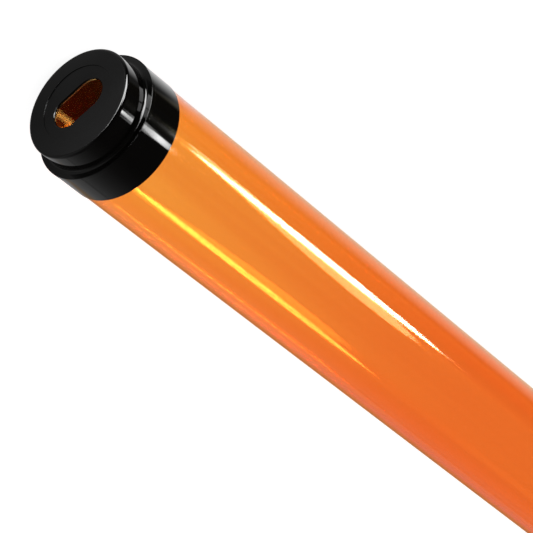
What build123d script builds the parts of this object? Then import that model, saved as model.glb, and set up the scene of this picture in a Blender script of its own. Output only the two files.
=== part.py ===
from build123d import *
import os

# Guard for a straight fluorescent lamp: a clear orange sleeve, closed at each end by a
# black cap that goes over it and that the end of the lamp seats in. Millimetres. The
# tube lies along X with its middle at the origin, and the long way of both pin slots is
# along Y.

# The lamp that the guard goes over
lamp_length = 589.8  # from one base's face to the other's, without the pins
glass_diameter = 38.1
base_step = 1.55  # from the glass down to the metal base at its end, all round
pin_pitch = 12.7
pin_diameter = 2.35

# Clearances
base_clearance = 0.15  # round the base, in its seat
glass_clearance = 1.0  # round the glass, in the sleeve
sleeve_clearance = 0.05  # round the sleeve, in a cap's skirt
pin_clearance = 1.7  # past each pin, at the ends of the slot

# Sleeve
sleeve_wall = 0.6

# End cap: the nose holds the lamp's base, and the skirt goes over the sleeve
end_wall = 1.2
nose_wall = 0.8
nose_height = 8.6
nose_round = 1.1
seat_chamfer = 0.4
shoulder_thickness = 1.2
shoulder_chamfer = 0.25
skirt_wall = 0.25
skirt_overlap = 12.3
skirt_chamfer = 0.12
band_width = 1.5  # raised band round the front of the skirt
band_height = 0.1
slot_width = 10.4
slot_chamfer = 0.3
face_rim_width = 4.75  # raised rim round the sunk middle of the end face
face_sink = 0.2

# Radii, from the lamp outwards
seat_radius = glass_diameter / 2 - base_step + base_clearance
nose_radius = seat_radius + nose_wall
sleeve_bore_radius = glass_diameter / 2 + glass_clearance
sleeve_radius = sleeve_bore_radius + sleeve_wall
skirt_bore_radius = sleeve_radius + sleeve_clearance
skirt_radius = skirt_bore_radius + skirt_wall
band_radius = skirt_radius + band_height
sunk_radius = nose_radius - nose_round - face_rim_width

# Depths into a cap from its end face, and the tube's length
band_depth = nose_height + band_width
shoulder_depth = nose_height + shoulder_thickness
cap_depth = shoulder_depth + skirt_overlap
overall_length = lamp_length + 2 * end_wall
sleeve_length = overall_length - 2 * shoulder_depth
slot_length = pin_pitch + pin_diameter + 2 * pin_clearance

tube_axis = Axis.X


def at(edge, section, depth, radius):
    """True for the circle of that radius at that depth into a cap."""
    depth_found = section.to_local_coords(edge.arc_center).X
    return abs(depth_found - depth) < 1e-3 and abs(edge.radius - radius) < 1e-3


def lies_at(face, section, depth):
    """True for a face at that depth into a cap."""
    return abs(section.to_local_coords(face.center()).X - depth) < 1e-3


def end_cap(name, side):
    """Moulded cap at the -X end (side -1) or the +X end (side +1).

    The section is drawn on a plane through the tube's axis, with its x the depth into
    the cap from the end face and its y the radius.
    """
    section = Plane(origin=(side * overall_length / 2, 0, 0), x_dir=(-side, 0, 0), z_dir=(0, side, 0))
    end_face = Plane(origin=section.origin, x_dir=(0, 1, 0), z_dir=(side, 0, 0))

    with BuildPart() as cap:
        # Outside: nose, shoulder with the raised band behind it, and skirt
        with BuildSketch(section):
            with BuildLine():
                Polyline(
                    (0, 0),
                    (0, nose_radius),
                    (nose_height, nose_radius),
                    (nose_height, band_radius),
                    (band_depth, band_radius),
                    (band_depth, skirt_radius),
                    (cap_depth, skirt_radius),
                    (cap_depth, 0),
                    close=True,
                )
            make_face()
        revolve(axis=tube_axis)

        # Inside: seat for the lamp's metal base, then the bore that the sleeve goes in,
        # as far as the back of the shoulder
        with BuildSketch(section):
            with BuildLine():
                Polyline(
                    (end_wall, 0),
                    (end_wall, seat_radius),
                    (shoulder_depth, seat_radius),
                    (shoulder_depth, skirt_bore_radius),
                    (cap_depth, skirt_bore_radius),
                    (cap_depth, 0),
                    close=True,
                )
            make_face()
        revolve(axis=tube_axis, mode=Mode.SUBTRACT)

        rims = cap.edges().filter_by(GeomType.CIRCLE)
        fillet(rims.filter_by(lambda e: at(e, section, 0, nose_radius)), nose_round)
        chamfer(rims.filter_by(lambda e: at(e, section, nose_height, band_radius)), shoulder_chamfer)
        chamfer(rims.filter_by(lambda e: at(e, section, shoulder_depth, seat_radius)), seat_chamfer)
        chamfer(rims.filter_by(lambda e: at(e, section, cap_depth, skirt_radius)), skirt_chamfer)

        # Sunk middle of the end face
        with BuildSketch(end_face):
            Circle(sunk_radius)
        extrude(amount=-face_sink, mode=Mode.SUBTRACT)

        # Slot for both of the lamp's pins
        with BuildSketch(end_face):
            SlotOverall(slot_length, slot_width)
        extrude(amount=-end_wall, mode=Mode.SUBTRACT)
        sunk_floor = cap.faces().filter_by(Axis.X).filter_by(lambda f: lies_at(f, section, face_sink))
        chamfer(sunk_floor.face().inner_wires()[0].edges(), slot_chamfer)

    cap.part.label = name
    export_step(cap.part, f"parts/{name}.step")


os.makedirs("parts", exist_ok=True)

# Sleeve, cut square at both ends, which stop against the caps' shoulders
with BuildPart() as sleeve:
    with BuildSketch(Plane.YZ):
        Circle(sleeve_radius)
        Circle(sleeve_bore_radius, mode=Mode.SUBTRACT)
    extrude(amount=sleeve_length / 2, both=True)
sleeve.part.label = "sleeve"
export_step(sleeve.part, "parts/sleeve.step")

end_cap("left_end_cap", -1)
end_cap("right_end_cap", 1)
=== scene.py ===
"""Fluorescent lamp guard: a clear orange tube with a black moulded cap over each end.

Metres, in the frame's own axes: the tube lies along X with its middle at the origin, and
the long way of the pin slots is along Y. The photographed cap is the one at -X.
"""

import math

import bmesh
import bpy
from mathutils import Matrix, Vector


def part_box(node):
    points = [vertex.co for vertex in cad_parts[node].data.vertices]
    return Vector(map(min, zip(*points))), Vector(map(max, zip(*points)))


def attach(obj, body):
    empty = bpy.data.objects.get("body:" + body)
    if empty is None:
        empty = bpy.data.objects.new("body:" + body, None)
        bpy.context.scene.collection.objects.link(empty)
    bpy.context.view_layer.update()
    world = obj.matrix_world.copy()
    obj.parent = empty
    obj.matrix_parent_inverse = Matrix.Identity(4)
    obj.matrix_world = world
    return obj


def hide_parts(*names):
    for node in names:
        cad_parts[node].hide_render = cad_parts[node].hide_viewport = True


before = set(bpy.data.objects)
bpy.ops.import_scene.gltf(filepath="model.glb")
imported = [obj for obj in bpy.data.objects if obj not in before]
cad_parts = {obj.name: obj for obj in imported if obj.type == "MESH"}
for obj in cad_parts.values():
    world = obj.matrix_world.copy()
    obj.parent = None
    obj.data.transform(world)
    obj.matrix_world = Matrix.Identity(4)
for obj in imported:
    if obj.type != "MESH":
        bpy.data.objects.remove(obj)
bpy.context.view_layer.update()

# Sizes from the frame
SLEEVE_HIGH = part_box("sleeve")[1]
CAP_LOW, CAP_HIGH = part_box("left_end_cap")
SLEEVE_RADIUS = SLEEVE_HIGH.z
SLEEVE_HALF = SLEEVE_HIGH.x
BAND_RADIUS = CAP_HIGH.z
HALF_LENGTH = -CAP_LOW.x
CAP_DEPTH = CAP_HIGH.x - CAP_LOW.x

# The cap's other sizes, as in the CAD model
MM = 0.001
SLEEVE_WALL = 0.6 * MM
END_WALL = 1.2 * MM
NOSE_RADIUS = 18.45 * MM
NOSE_HEIGHT = 8.6 * MM
NOSE_ROUND = 1.1 * MM
SEAT_RADIUS = 17.65 * MM
SEAT_CHAMFER = 0.4 * MM
SLEEVE_CLEARANCE = 0.05 * MM
SKIRT_WALL = 0.25 * MM
BAND_WIDTH = 1.5 * MM
SHOULDER_DEPTH = HALF_LENGTH - SLEEVE_HALF
SKIRT_BORE = SLEEVE_RADIUS + SLEEVE_CLEARANCE
SKIRT_RADIUS = SKIRT_BORE + SKIRT_WALL
BAND_DEPTH = NOSE_HEIGHT + BAND_WIDTH
SUNK_RADIUS = 12.6 * MM
FACE_SINK = 0.2 * MM
SLOT_LENGTH = 18.45 * MM
SLOT_WIDTH = 10.4 * MM
SLOT_CHAMFER = 0.3 * MM

# Roundings that the CAD model hasn't
NOSE_FOOT_ROUND = 1.0 * MM  # concave
BAND_ROUND = 0.12 * MM
SUNK_FLOOR_ROUND = 0.1 * MM
SUNK_RIM_ROUND = 0.08 * MM
MOUTH_OUTER_ROUND = 0.14 * MM
MOUTH_INNER_ROUND = 0.1 * MM
SLEEVE_END_ROUND = 0.12 * MM
SLOT_EDGE = 0.1 * MM  # eased length beside the slot's chamfer
SLOT_EASE = 0.02 * MM  # by how much the chamfer's inner edge is drawn back
FINE_ROUND = 0.05 * MM

AROUND = 256  # points in each ring of a mesh

WHITE = (1.0, 1.0, 1.0, 1)


# ---------------------------------------------------------------- node helpers


class Nodes:
    """A material's or world's node tree, with short calls to add and link nodes."""

    def __init__(self, owner):
        owner.use_nodes = True
        self.tree = owner.node_tree
        self.tree.nodes.clear()

    def add(self, kind, inputs=None, **settings):
        node = self.tree.nodes.new(kind)
        for key, value in settings.items():
            setattr(node, key, value)
        for key, value in (inputs or {}).items():
            if isinstance(value, bpy.types.NodeSocket):
                self.tree.links.new(value, node.inputs[key])
            else:
                node.inputs[key].default_value = value
        return node

    def math(self, operation, a, b=0.5, c=0.5):
        return self.add("ShaderNodeMath", {0: a, 1: b, 2: c}, operation=operation).outputs[0]

    def blend(self, factor, a, b):
        """Colour a, going to colour b as factor goes to 1."""
        node = self.add("ShaderNodeMix", {0: factor, 6: a, 7: b}, data_type="RGBA")
        return node.outputs[2]

    def ramp(self, value, low, high, out_low=0.0, out_high=1.0):
        """Smooth step of value from low to high, between two outputs."""
        inputs = {0: value, 1: low, 2: high, 3: out_low, 4: out_high}
        node = self.add("ShaderNodeMapRange", inputs, interpolation_type="SMOOTHSTEP")
        return node.outputs[0]

    def line(self, value, low, high, out_low=0.0, out_high=1.0):
        """Straight change of value from low to high, between two outputs."""
        inputs = {0: value, 1: low, 2: high, 3: out_low, 4: out_high}
        return self.add("ShaderNodeMapRange", inputs).outputs[0]

    def mix(self, factor, a, b):
        """Number a, going to number b as factor goes to 1."""
        return self.add("ShaderNodeMix", {0: factor, 2: a, 3: b}).outputs[0]

    def place(self):
        """Place in the object's own axes, as a vector and as its three parts."""
        vector = self.add("ShaderNodeTexCoord").outputs["Object"]
        return vector, self.add("ShaderNodeSeparateXYZ", {0: vector}).outputs

    def from_axis(self, parts):
        """Distance from the tube's axis."""
        y2 = self.math("MULTIPLY", parts[1], parts[1])
        z2 = self.math("MULTIPLY", parts[2], parts[2])
        return self.math("SQRT", self.math("ADD", y2, z2))

    def noise(self, place, scale, detail=3.0):
        inputs = {"Vector": place, "Scale": scale, "Detail": detail}
        return self.add("ShaderNodeTexNoise", inputs).outputs[0]

    def streaks(self, place, along, across, detail):
        """Noise with one scale along the tube and a finer one across it."""
        scales = {0: place, 1: (along, across, across)}
        stretched = self.add("ShaderNodeVectorMath", scales, operation="MULTIPLY")
        return self.noise(stretched.outputs[0], 1.0, detail)


# ---------------------------------------------------------------- meshes


def circle(radius):
    """Outline function: distance from the axis at every angle."""
    return lambda angle: radius


def slot_outline(margin):
    """Outline function of the pin slot, made larger all round by margin."""
    end_radius = SLOT_WIDTH / 2 + margin
    end_centre = (SLOT_LENGTH - SLOT_WIDTH) / 2

    def distance(angle):
        along, across = abs(math.cos(angle)), abs(math.sin(angle))
        if across * end_centre > along * end_radius:
            return end_radius / across
        return end_centre * along + math.sqrt(end_radius**2 - (end_centre * across) ** 2)

    return distance


def ring_mesh(name, rings, side):
    """Closed mesh through rings of points, each a (depth, outline function) pair.

    Depth runs into the tube from its end on that side, and angle 0 is along +Y. The last
    ring joins the first.
    """
    mesh = bpy.data.meshes.new(name)
    builder = bmesh.new()
    loops = []
    for depth, outline in rings:
        loop = []
        for k in range(AROUND):
            angle = 2 * math.pi * k / AROUND
            reach = outline(angle)
            place = (side * (HALF_LENGTH - depth), reach * math.cos(angle), reach * math.sin(angle))
            loop.append(builder.verts.new(place))
        loops.append(loop)
    for a, b in zip(loops, loops[1:] + loops[:1]):
        for k in range(AROUND):
            after = (k + 1) % AROUND
            builder.faces.new((a[k], a[after], b[after], b[k]))
    bmesh.ops.recalc_face_normals(builder, faces=builder.faces)
    for face in builder.faces:
        face.smooth = True
    builder.to_mesh(mesh)
    builder.free()
    piece = bpy.data.objects.new(name, mesh)
    bpy.context.scene.collection.objects.link(piece)
    weighted = piece.modifiers.new("flat faces stay flat", "WEIGHTED_NORMAL")
    weighted.mode = "FACE_AREA"
    return piece


def rounded(corners, steps=4):
    """(depth, radius) points of a section, with the corners that have a rounding replaced by arcs.

    Each corner is (depth, radius, rounding), and the section is closed.
    """
    points = []
    count = len(corners)
    for i, (depth, radius, rounding) in enumerate(corners):
        here = Vector((depth, radius))
        if rounding == 0:
            points.append(here)
            continue
        before = (Vector(corners[i - 1][:2]) - here).normalized()
        after = (Vector(corners[(i + 1) % count][:2]) - here).normalized()
        half = before.angle(after) / 2
        centre = here + (before + after).normalized() * rounding / math.sin(half)
        start = (here + before * rounding / math.tan(half) - centre).normalized()
        end = (here + after * rounding / math.tan(half) - centre).normalized()
        for k in range(steps + 1):
            points.append(centre + start.slerp(end, k / steps) * rounding)
    return points


# ---------------------------------------------------------------- materials


def sleeve_material():
    """Clear orange plastic, dyed right through, with a duller gloss outside than inside.

    Its surfaces are painted deeper orange over the middle of the tube and paler towards the ends, a
    painted shade.
    """
    shaded_middle_tint, lit_end_tint = (0.985, 0.735, 0.68, 1), (1.0, 1.0, 0.85, 1)
    shaded_to, lit_from = 0.11, 0.27  # distances from the middle of the tube
    streak_tint, most_streak = (0.8, 0.35, 0.2, 1), 0.2
    outer_gloss = (0.12, 0.095, 0.07, 1)
    painted_lining_tint = (1.0, 0.93, 0.45, 1)
    dye, dye_density = (0.98, 0.63, 0.06, 1), 2200.0
    shadow = (0.98, 0.88, 0.8, 1)

    material = bpy.data.materials.new("clear_orange")
    nodes = Nodes(material)
    place, parts = nodes.place()
    from_middle = nodes.math("ABSOLUTE", parts[0])

    # Tint of the surfaces: painted shade, deeper over the middle of the tube and paler towards the
    # ends, with faint long streaks
    shade_and_streak_tint = nodes.blend(nodes.line(from_middle, shaded_to, lit_from), shaded_middle_tint, lit_end_tint)
    streaked = nodes.ramp(nodes.streaks(place, 2.0, 130.0, 3.0), 0.35, 0.65, 0.0, most_streak)
    shade_and_streak_tint = nodes.blend(streaked, shade_and_streak_tint, streak_tint)

    # Inside a cap the lining's reflections are painted yellower, standing in for light that reaches
    # it only through the sleeve
    mouth = HALF_LENGTH - CAP_DEPTH
    in_cap = nodes.ramp(from_middle, mouth - 2 * MM, mouth + 1 * MM)
    lining_painted_gloss = nodes.blend(in_cap, WHITE, painted_lining_tint)
    middle_of_wall = SLEEVE_RADIUS - SLEEVE_WALL / 2
    outer = nodes.math("GREATER_THAN", nodes.from_axis(parts), middle_of_wall)
    gloss = nodes.blend(outer, lining_painted_gloss, outer_gloss)

    # Fine lines along the tube, as an extruded tube has
    lines = nodes.streaks(place, 3.0, 900.0, 2.0)
    bump = nodes.add("ShaderNodeBump", {"Strength": 0.02, "Distance": 0.1 * MM, "Height": lines})

    plastic = nodes.add(
        "ShaderNodeBsdfPrincipled",
        {
            "Base Color": shade_and_streak_tint,
            "Roughness": 0.035,
            "IOR": 1.49,
            "Specular Tint": gloss,
            "Transmission Weight": 1.0,
            "Normal": bump.outputs[0],
        },
    )
    # The lamps' light goes straight through
    clear = nodes.add("ShaderNodeBsdfTransparent", {"Color": shadow})
    path = nodes.add("ShaderNodeLightPath")
    shown = nodes.add(
        "ShaderNodeMixShader",
        {0: path.outputs["Is Shadow Ray"], 1: plastic.outputs[0], 2: clear.outputs[0]},
    )
    dyed = nodes.add("ShaderNodeVolumeAbsorption", {"Color": dye, "Density": dye_density})
    nodes.add("ShaderNodeOutputMaterial", {"Surface": shown.outputs[0], "Volume": dyed.outputs[0]})
    return material


def cap_material():
    """Black moulded plastic: glossy sides, and a satin end face with fine turned rings."""
    black, paler_black = (0.0022, 0.0019, 0.0017, 1), (0.0036, 0.0031, 0.0028, 1)
    painted_glow_red = (0.045, 0.008, 0.03, 1)
    side_gloss, side_uneven = 0.035, 0.03
    end_gloss, end_uneven = 0.27, 0.08
    turns = 9000.0  # radians per metre, which is a ring every 0.7 mm
    ring_height = 0.25  # beside the grain's
    smear_scale, grain_scale = 90.0, 3500.0
    side_grain, end_grain = 0.008, 0.22

    material = bpy.data.materials.new("black_cap")
    nodes = Nodes(material)
    place, parts = nodes.place()
    from_middle = nodes.math("ABSOLUTE", parts[0])
    radius = nodes.from_axis(parts)

    # The end face: what faces along the tube at its very end
    normal = nodes.add("ShaderNodeNewGeometry").outputs["Normal"]
    facing = nodes.add("ShaderNodeSeparateXYZ", {0: normal}).outputs[0]
    level = nodes.math("ABSOLUTE", facing)
    at_end = nodes.math("GREATER_THAN", from_middle, HALF_LENGTH - 1 * MM)
    end = nodes.math("MULTIPLY", nodes.ramp(level, 0.9, 0.99), at_end)

    smear = nodes.noise(place, smear_scale)
    rough_end = nodes.math("MULTIPLY_ADD", smear, end_uneven, end_gloss)
    rough_side = nodes.math("MULTIPLY_ADD", smear, side_uneven, side_gloss)
    rough = nodes.mix(end, rough_side, rough_end)

    rings = nodes.math("SINE", nodes.math("MULTIPLY", radius, turns))
    rings = nodes.math("MULTIPLY", rings, ring_height)
    height = nodes.math("ADD", nodes.noise(place, grain_scale), rings)
    strength = nodes.math("MULTIPLY_ADD", end, end_grain, side_grain)
    bump = nodes.add(
        "ShaderNodeBump",
        {"Strength": strength, "Distance": 0.05 * MM, "Height": height},
    )

    # The skirt's bore, which the sleeve's end lines, is painted dark red, a painted glow standing
    # in for orange light that comes through the sleeve; it shows through the pin slot
    colour = nodes.blend(smear, black, paler_black)
    within = nodes.math("LESS_THAN", radius, (SKIRT_BORE + SKIRT_RADIUS) / 2)
    behind = nodes.math("LESS_THAN", from_middle, SLEEVE_HALF + 0.1 * MM)
    colour = nodes.blend(nodes.math("MULTIPLY", within, behind), colour, painted_glow_red)

    plastic = nodes.add(
        "ShaderNodeBsdfPrincipled",
        {"Base Color": colour, "Roughness": rough, "IOR": 1.5, "Normal": bump.outputs[0]},
    )
    nodes.add("ShaderNodeOutputMaterial", {"Surface": plastic.outputs[0]})
    return material


# ---------------------------------------------------------------- the guard


def build_sleeve():
    """Extruded tube with its real wall and slightly rounded cut ends."""
    inner = SLEEVE_RADIUS - SLEEVE_WALL
    near, far = SHOULDER_DEPTH, 2 * HALF_LENGTH - SHOULDER_DEPTH
    corners = [
        (near, SLEEVE_RADIUS, SLEEVE_END_ROUND),
        (far, SLEEVE_RADIUS, SLEEVE_END_ROUND),
        (far, inner, SLEEVE_END_ROUND),
        (near, inner, SLEEVE_END_ROUND),
    ]
    rings = [(depth, circle(radius)) for depth, radius in rounded(corners, 3)]
    piece = ring_mesh("clear_sleeve", rings, -1)
    piece.data.materials.append(sleeve_material())
    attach(piece, "sleeve")
    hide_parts("sleeve")


def build_cap(name, node, body, side, material):
    """Moulded cap: nose with the slotted end face, shoulder, raised band and skirt."""
    seat_lip = SEAT_RADIUS + SEAT_CHAMFER
    # Depth, radius and rounding of each corner
    corners = [
        (FACE_SINK, SUNK_RADIUS, SUNK_FLOOR_ROUND),
        (0, SUNK_RADIUS, SUNK_RIM_ROUND),
        (0, NOSE_RADIUS, NOSE_ROUND),
        (NOSE_HEIGHT, NOSE_RADIUS, NOSE_FOOT_ROUND),
        (NOSE_HEIGHT, BAND_RADIUS, BAND_ROUND),
        (BAND_DEPTH, BAND_RADIUS, FINE_ROUND),
        (BAND_DEPTH, SKIRT_RADIUS, FINE_ROUND),
        (CAP_DEPTH, SKIRT_RADIUS, MOUTH_OUTER_ROUND),
        (CAP_DEPTH, SKIRT_BORE, MOUTH_INNER_ROUND),
        (SHOULDER_DEPTH, SKIRT_BORE, 0),
        (SHOULDER_DEPTH, seat_lip, FINE_ROUND),
        (SHOULDER_DEPTH - SEAT_CHAMFER, SEAT_RADIUS, FINE_ROUND),
        (END_WALL, SEAT_RADIUS, 0),
    ]
    section = rounded(corners, 6)
    # The slot, from inside the cap outwards, with its chamfer's edges eased
    chamfer_depth = FACE_SINK + SLOT_CHAMFER
    slot_rings = [
        (END_WALL, slot_outline(0)),
        (chamfer_depth + SLOT_EDGE, slot_outline(0)),
        (chamfer_depth, slot_outline(SLOT_EASE)),
        (FACE_SINK + FINE_ROUND, slot_outline(SLOT_CHAMFER - FINE_ROUND)),
        (FACE_SINK, slot_outline(SLOT_CHAMFER + SLOT_EDGE)),
    ]
    rings = [(depth, circle(radius)) for depth, radius in section] + slot_rings
    piece = ring_mesh(name, rings, side)
    piece.data.materials.append(material)
    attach(piece, body)
    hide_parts(node)


# ---------------------------------------------------------------- studio


def softbox(name, place, aim, size, strength, colour=WHITE[:3], shape="RECTANGLE", lean=0.0):
    """Flat lamp at place, facing aim, with its first side along X and strength its radiance.

    Lean is an angle in its own plane, which moves its top towards +X.
    """
    lamp = bpy.data.lights.new(name, "AREA")
    lamp.shape = shape
    lamp.size, lamp.size_y = size
    area = size[0] * size[1] * (math.pi / 4 if shape == "ELLIPSE" else 1.0)
    lamp.energy = strength * area * math.pi
    lamp.color = colour
    light = bpy.data.objects.new(name, lamp)
    bpy.context.scene.collection.objects.link(light)
    back = (Vector(place) - Vector(aim)).normalized()
    side = Vector((1, 0, 0))
    side = (side - back * side.dot(back)).normalized()
    up = back.cross(side)
    turn = Matrix((side, up, back)).transposed().to_4x4()
    light.matrix_world = Matrix.Translation(place) @ turn @ Matrix.Rotation(lean, 4, "Z")
    return light


def mirrored_floor(nodes, parts):
    """Light that the floor shows in glossy reflections.

    Painted light and shade: it is painted bright close to the guard, dark further off on the +Y
    side, even on the -Y side, and with painted shade in front of the end faces. Every ramp runs
    between two distances, from the middle of the tube (along) or from its axis (across, to the +Y
    side).
    """
    along, across = nodes.math("ABSOLUTE", parts[0]), parts[1]
    by_cap = nodes.ramp(along, 0.235, 0.25)
    beside_sleeve = nodes.ramp(across, 0.033, 0.075, 0.9, 0.015)
    beside_cap = nodes.ramp(across, 0.027, 0.052, 1.0, 0.08)
    right = nodes.mix(by_cap, beside_sleeve, beside_cap)
    left = nodes.ramp(across, -0.1, -0.03, 0.33, 0.42)
    sides = nodes.line(across, -0.02, 0.02)
    nearest = nodes.mix(sides, left, right)
    # Painted shade of the floor close to and in front of the end faces
    painted_end_shade = nodes.ramp(along, 0.28, 0.29, 1.0, 0.3)
    beyond = nodes.ramp(along, 0.3, 0.34, 0.0, 0.25)
    strength = nodes.math("MULTIPLY", nearest, nodes.math("ADD", painted_end_shade, beyond))
    off_axis = nodes.ramp(across, -0.03, 0.01, 0.0, 0.55)
    painted_front_shade = nodes.math("MULTIPLY", nodes.ramp(along, 0.3, 0.31), off_axis)
    strength = nodes.math("MULTIPLY", strength, nodes.math("SUBTRACT", 1.0, painted_front_shade))

    # A painted warm glow on the floor close by, more on the -Y side, stands in for light that comes
    # through the sleeve
    painted_glow_left, painted_glow_right = (1.0, 0.6, 0.25, 1), (1.0, 0.9, 0.66, 1)
    painted_glow = nodes.blend(sides, painted_glow_left, painted_glow_right)
    near_tube = nodes.ramp(across, -0.09, -0.045)
    colour = nodes.blend(near_tube, WHITE, nodes.blend(by_cap, painted_glow, WHITE))
    return nodes.add("ShaderNodeEmission", {"Color": colour, "Strength": strength}).outputs[0]


def build_floor():
    """Pale floor under the guard, which keeps its shadow.

    It is white to the eye and through the sleeve.
    """
    reach, level = 12.0, -BAND_RADIUS
    grey = (0.5, 0.5, 0.5, 1)
    to_eye, to_sleeve = 0.86, 1.05  # its own light, as seen directly and through the sleeve

    mesh = bpy.data.meshes.new("floor")
    corners = [(-reach, -reach), (reach, -reach), (reach, reach), (-reach, reach)]
    mesh.from_pydata([(x, y, level) for x, y in corners], [], [(0, 1, 2, 3)])
    floor = bpy.data.objects.new("floor", mesh)
    bpy.context.scene.collection.objects.link(floor)
    material = bpy.data.materials.new("floor")
    nodes = Nodes(material)
    path = nodes.add("ShaderNodeLightPath").outputs
    parts = nodes.place()[1]
    mirrored = mirrored_floor(nodes, parts)
    glow = nodes.math("MULTIPLY", path["Is Camera Ray"], to_eye)
    paper = nodes.add("ShaderNodeBsdfDiffuse", {"Color": grey})
    light = nodes.add("ShaderNodeEmission", {"Strength": glow})
    both = nodes.add("ShaderNodeAddShader", {0: paper.outputs[0], 1: light.outputs[0]})
    through = nodes.add("ShaderNodeEmission", {"Strength": to_sleeve})
    shown = nodes.add(
        "ShaderNodeMixShader",
        {0: path["Is Glossy Ray"], 1: both.outputs[0], 2: mirrored},
    )
    shown = nodes.add(
        "ShaderNodeMixShader",
        {0: path["Is Transmission Ray"], 1: shown.outputs[0], 2: through.outputs[0]},
    )
    nodes.add("ShaderNodeOutputMaterial", {"Surface": shown.outputs[0]})
    mesh.materials.append(material)


def build_world():
    """Soft even surroundings, white to the eye.

    In reflections they are dim, with a low glow on the -Y side, and through the sleeve
    they are dim overhead.
    """
    low_through, high_through = 0.8, 0.05
    diffuse = 0.48
    glow_low, glow_high, dark = 0.26, 0.04, 0.016  # in reflections

    world = bpy.data.worlds.new("studio")
    bpy.context.scene.world = world
    nodes = Nodes(world)
    path = nodes.add("ShaderNodeLightPath").outputs
    direction = nodes.add("ShaderNodeTexCoord").outputs["Generated"]
    parts = nodes.add("ShaderNodeSeparateXYZ", {0: direction}).outputs
    across, height = parts[1], parts[2]
    overhead = nodes.ramp(height, 0.15, 0.4, low_through, high_through)
    through = nodes.math("MULTIPLY", path["Is Transmission Ray"], overhead)
    strength = nodes.math("ADD", path["Is Camera Ray"], through)
    strength = nodes.math("MULTIPLY_ADD", path["Is Diffuse Ray"], diffuse, strength)
    left = nodes.ramp(across, -0.6, -0.1, 1.0, 0.0)
    glow = nodes.line(height, 0.0, 0.62, glow_low, glow_high)
    mirrored = nodes.math("MULTIPLY_ADD", left, glow, dark)
    strength = nodes.math("MULTIPLY_ADD", path["Is Glossy Ray"], mirrored, strength)
    background = nodes.add("ShaderNodeBackground", {"Color": WHITE, "Strength": strength})
    nodes.add("ShaderNodeOutputWorld", {"Surface": background.outputs[0]})


def build_camera():
    """Camera above the -X end, rolled so that the tube runs from upper left to lower right."""
    place = Vector((-0.8171, 0.1740, 0.6482))
    aim = Vector((-0.19545, -0.00361, 0.0))
    roll = math.radians(150.23)
    camera_data = bpy.data.cameras.new("camera")
    camera_data.sensor_width = 36.0
    camera_data.lens = 195.33
    camera_data.clip_start, camera_data.clip_end = 0.05, 60.0
    camera = bpy.data.objects.new("camera", camera_data)
    bpy.context.scene.collection.objects.link(camera)
    level = (aim - place).to_track_quat("-Z", "Y").to_matrix().to_4x4()
    camera.matrix_world = Matrix.Translation(place) @ level @ Matrix.Rotation(roll, 4, "Z")
    bpy.context.scene.camera = camera


# Lamps that the tube and the caps mirror as streaks along them. All face the axis. Each has
# its name, x, degrees above the horizon on the +Y side, distance from the axis, size along
# and across, radiance, colour, shape and lean.
COOL, PLAIN, YELLOW = (0.97, 0.98, 0.95), WHITE[:3], (1.0, 0.95, 0.55)
STREAK_LAMPS = [
    # The sleeve's long streaks, with a bright core and a yellow border
    ("key", 1.21, 17.0, 1.5, (0.45, 0.34), 21.0, COOL, "ELLIPSE", 0.04),
    ("key_core", 1.2, 17.0, 1.485, (0.42, 0.24), 36.0, COOL, "ELLIPSE", 0.04),
    ("key_halo", 1.235, 23.0, 1.53, (0.28, 0.86), 11.0, YELLOW, "ELLIPSE", 0.38),
    # The bar across the cap, brighter on the nose's front edge and at the skirt's mouth
    ("bar", 0.81, 38.5, 1.5, (0.29, 0.18), 6.0, PLAIN, "RECTANGLE", 0.0),
    ("bar_front", 0.756, 37.3, 1.485, (0.2, 0.13), 15.0, PLAIN, "RECTANGLE", 0.0),
    ("bar_rear", 0.9375, 39.0, 1.485, (0.025, 0.27), 16.0, PLAIN, "RECTANGLE", 0.0),
    ("bar_halo", 0.935, 38.5, 1.53, (0.06, 0.42), 3.0, PLAIN, "RECTANGLE", 0.0),
]


def build_lights():
    """Plain soft studio light."""
    for name, x, degrees, reach, size, strength, colour, shape, lean in STREAK_LAMPS:
        height = math.radians(degrees)
        place = (x, reach * math.cos(height), reach * math.sin(height))
        light = softbox(name, place, (x, 0, 0), size, strength, colour, shape, lean)
        light.visible_diffuse = name != "key_halo"
    # Lights low beyond the -X cap, which outline its rounded edges and reach nothing else.
    # The first lies on the floor, facing up.
    on_floor = 0.5 * MM - BAND_RADIUS
    place, above = (-0.57, 0.34, on_floor), (-0.57, 0.34, 1)
    strips = [
        softbox("rim_low", place, above, (0.2, 0.72), 16.0, lean=-0.467),
        softbox("rim_far", (-1.25, 1.0, 0.15), (-0.29, 0, 0), (0.6, 0.32), 15.0),
    ]
    for strip in strips:
        strip.visible_camera = False
        strip.visible_diffuse = False
        strip.visible_transmission = False


bpy.context.scene.view_settings.view_transform = "Standard"
build_camera()
build_world()
build_floor()
build_lights()
build_sleeve()
black = cap_material()
build_cap("slotted_cap_left", "left_end_cap", "left_cap", -1, black)
build_cap("slotted_cap_right", "right_end_cap", "right_cap", 1, black)
